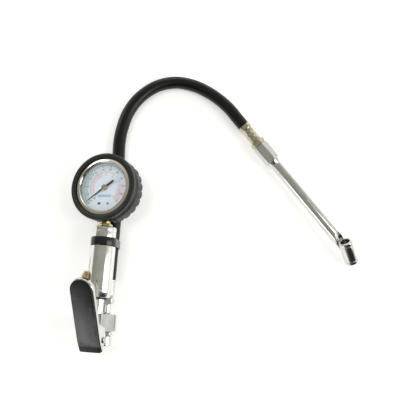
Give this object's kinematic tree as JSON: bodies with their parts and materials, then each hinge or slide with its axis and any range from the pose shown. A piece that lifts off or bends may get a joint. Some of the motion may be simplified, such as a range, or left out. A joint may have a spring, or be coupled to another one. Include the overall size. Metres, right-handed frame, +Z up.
{
  "type": "tyre inflator",
  "caption": "Hand-lever tyre inflator with a dial pressure gauge in a rubber boot, an air hose clipped behind its body, and a long chuck with a twin-mouth head.",
  "frame": {"origin": "on the surface the inflator lies on, under the middle of the handle with its gauge and lever (hose and chuck left out)", "axes": "+Y along the handle towards the gauge, +Z up away from the surface, +X towards the side the hose and chuck lie on"},
  "size_m": [0.3574, 0.3346, 0.0757],
  "materials": {
    "boot_rubber": "matt moulded rubber",
    "hose_rubber": "smooth satin rubber",
    "seal_rubber": "matt rubber",
    "case_steel": "satin",
    "bezel_chrome": "polished",
    "lens_glass": "clear",
    "dial_paint": "printed satin",
    "pointer_paint": "satin",
    "brass": "machined",
    "nickel_brass": "pale plated",
    "aluminium": "bright turned",
    "block_zinc": "die-cast satin",
    "chrome": "polished",
    "steel": "satin",
    "clip_plastic": "gloss",
    "pad_plastic": "satin gloss"
  },
  "bodies": {
    "root": {"gauge_boot": "boot_rubber", "air_hose": "hose_rubber", "lens_gasket": "seal_rubber", "cap_oring": "seal_rubber", "body_oring": "seal_rubber", "chuck_seal_rear": "seal_rubber", "chuck_seal_front": "seal_rubber", "gauge_case": "case_steel", "gauge_bezel": "bezel_chrome", "gauge_lens": "lens_glass", "dial_plate": "dial_paint", "movement_front_plate": "brass", "movement_back_plate": "brass", "movement_post_1": "brass", "movement_post_2": "brass", "bourdon_tip": "brass", "gauge_socket": "brass", "bleed_housing": "brass", "valve_guide_nut": "brass", "bourdon_tube": "nickel_brass", "inlet_filter": "nickel_brass", "chuck_ferrule": "nickel_brass", "chuck_collar": "nickel_brass", "body_top_cap": "aluminium", "handle_body": "aluminium", "manifold_block": "block_zinc", "inlet_fitting": "chrome", "hose_adapter": "chrome", "handle_hose_nut": "chrome", "handle_ferrule": "chrome", "chuck_body": "chrome", "chuck_tube": "chrome", "chuck_head": "chrome", "pointer_stop_pin": "steel", "hairspring": "steel", "bleed_spring": "steel", "valve_spring": "steel", "lever_pin": "steel", "lever_pin_clip": "steel", "chuck_spring_rear": "steel", "chuck_spring_front": "steel", "hose_clip": "clip_plastic"},
    "lever": {"lever": "chrome", "lever_pad": "pad_plastic"},
    "plunger": {"valve_plunger": "steel", "valve_seal": "seal_rubber"},
    "pointer": {"pointer": "pointer_paint", "pointer_shaft": "brass"},
    "sector": {"sector_gear": "brass"},
    "link": {"tip_link": "brass"},
    "bleed_button": {"bleed_button": "brass", "bleed_seal": "seal_rubber"},
    "chuck_pin_rear": {"chuck_pin_rear": "brass"},
    "chuck_pin_front": {"chuck_pin_front": "brass"}
  },
  "joints": [
    {"name": "lever_pivot", "type": "hinge", "parent": "root", "child": "lever", "pos_m": [-0.00137, -0.09593, 0.0377], "axis": [-0.891, -0.0169, -0.4537], "range_deg": [0, 14], "stiffness_Nm_per_rad": 1.2, "springref_deg": -5.73},
    {"name": "plunger_slide", "type": "slide", "parent": "root", "child": "plunger", "axis": [0.454, -0.0331, -0.8904], "range_m": [0, 0.0062], "deforming": ["valve_spring"]},
    {"name": "pointer_spin", "type": "hinge", "parent": "root", "child": "pointer", "pos_m": [0.0009, 0.06979, 0.02708], "axis": [0.454, -0.0331, -0.8904], "range_deg": [0, 270], "stiffness_Nm_per_rad": 0.00002, "springref_deg": -57.3},
    {"name": "sector_swing", "type": "hinge", "parent": "root", "child": "sector", "pos_m": [0.0009, 0.06029, 0.02743], "axis": [0.454, -0.0331, -0.8904], "range_deg": [-52, 0]},
    {"name": "link_swing", "type": "hinge", "parent": "sector", "child": "link", "pos_m": [0.0009, 0.0536, 0.02768], "axis": [0.454, -0.0331, -0.8904], "range_deg": [0, 52]},
    {"name": "bleed_press", "type": "slide", "parent": "root", "child": "bleed_button", "axis": [0.9903, -0.0052, -0.1391], "range_m": [0, 0.0022], "stiffness_N_per_m": 400, "springref_m": -0.002, "deforming": ["bleed_spring"]},
    {"name": "chuck_pin_rear_press", "type": "slide", "parent": "root", "child": "chuck_pin_rear", "axis": [0.51, -0.733, -0.45], "range_m": [0, 0.0016], "stiffness_N_per_m": 400, "springref_m": -0.002, "deforming": ["chuck_spring_rear"]},
    {"name": "chuck_pin_front_press", "type": "slide", "parent": "root", "child": "chuck_pin_front", "axis": [-0.51, 0.733, 0.45], "range_m": [0, 0.0016], "stiffness_N_per_m": 400, "springref_m": -0.002, "deforming": ["chuck_spring_front"]}
  ],
  "couplings": [
    {"joint": "plunger_slide", "follows": "lever_pivot", "m_per_rad": 0.0245},
    {"joint": "sector_swing", "follows": "pointer_spin", "ratio": -0.1875},
    {"joint": "link_swing", "follows": "pointer_spin", "ratio": 0.1875}
  ]
}
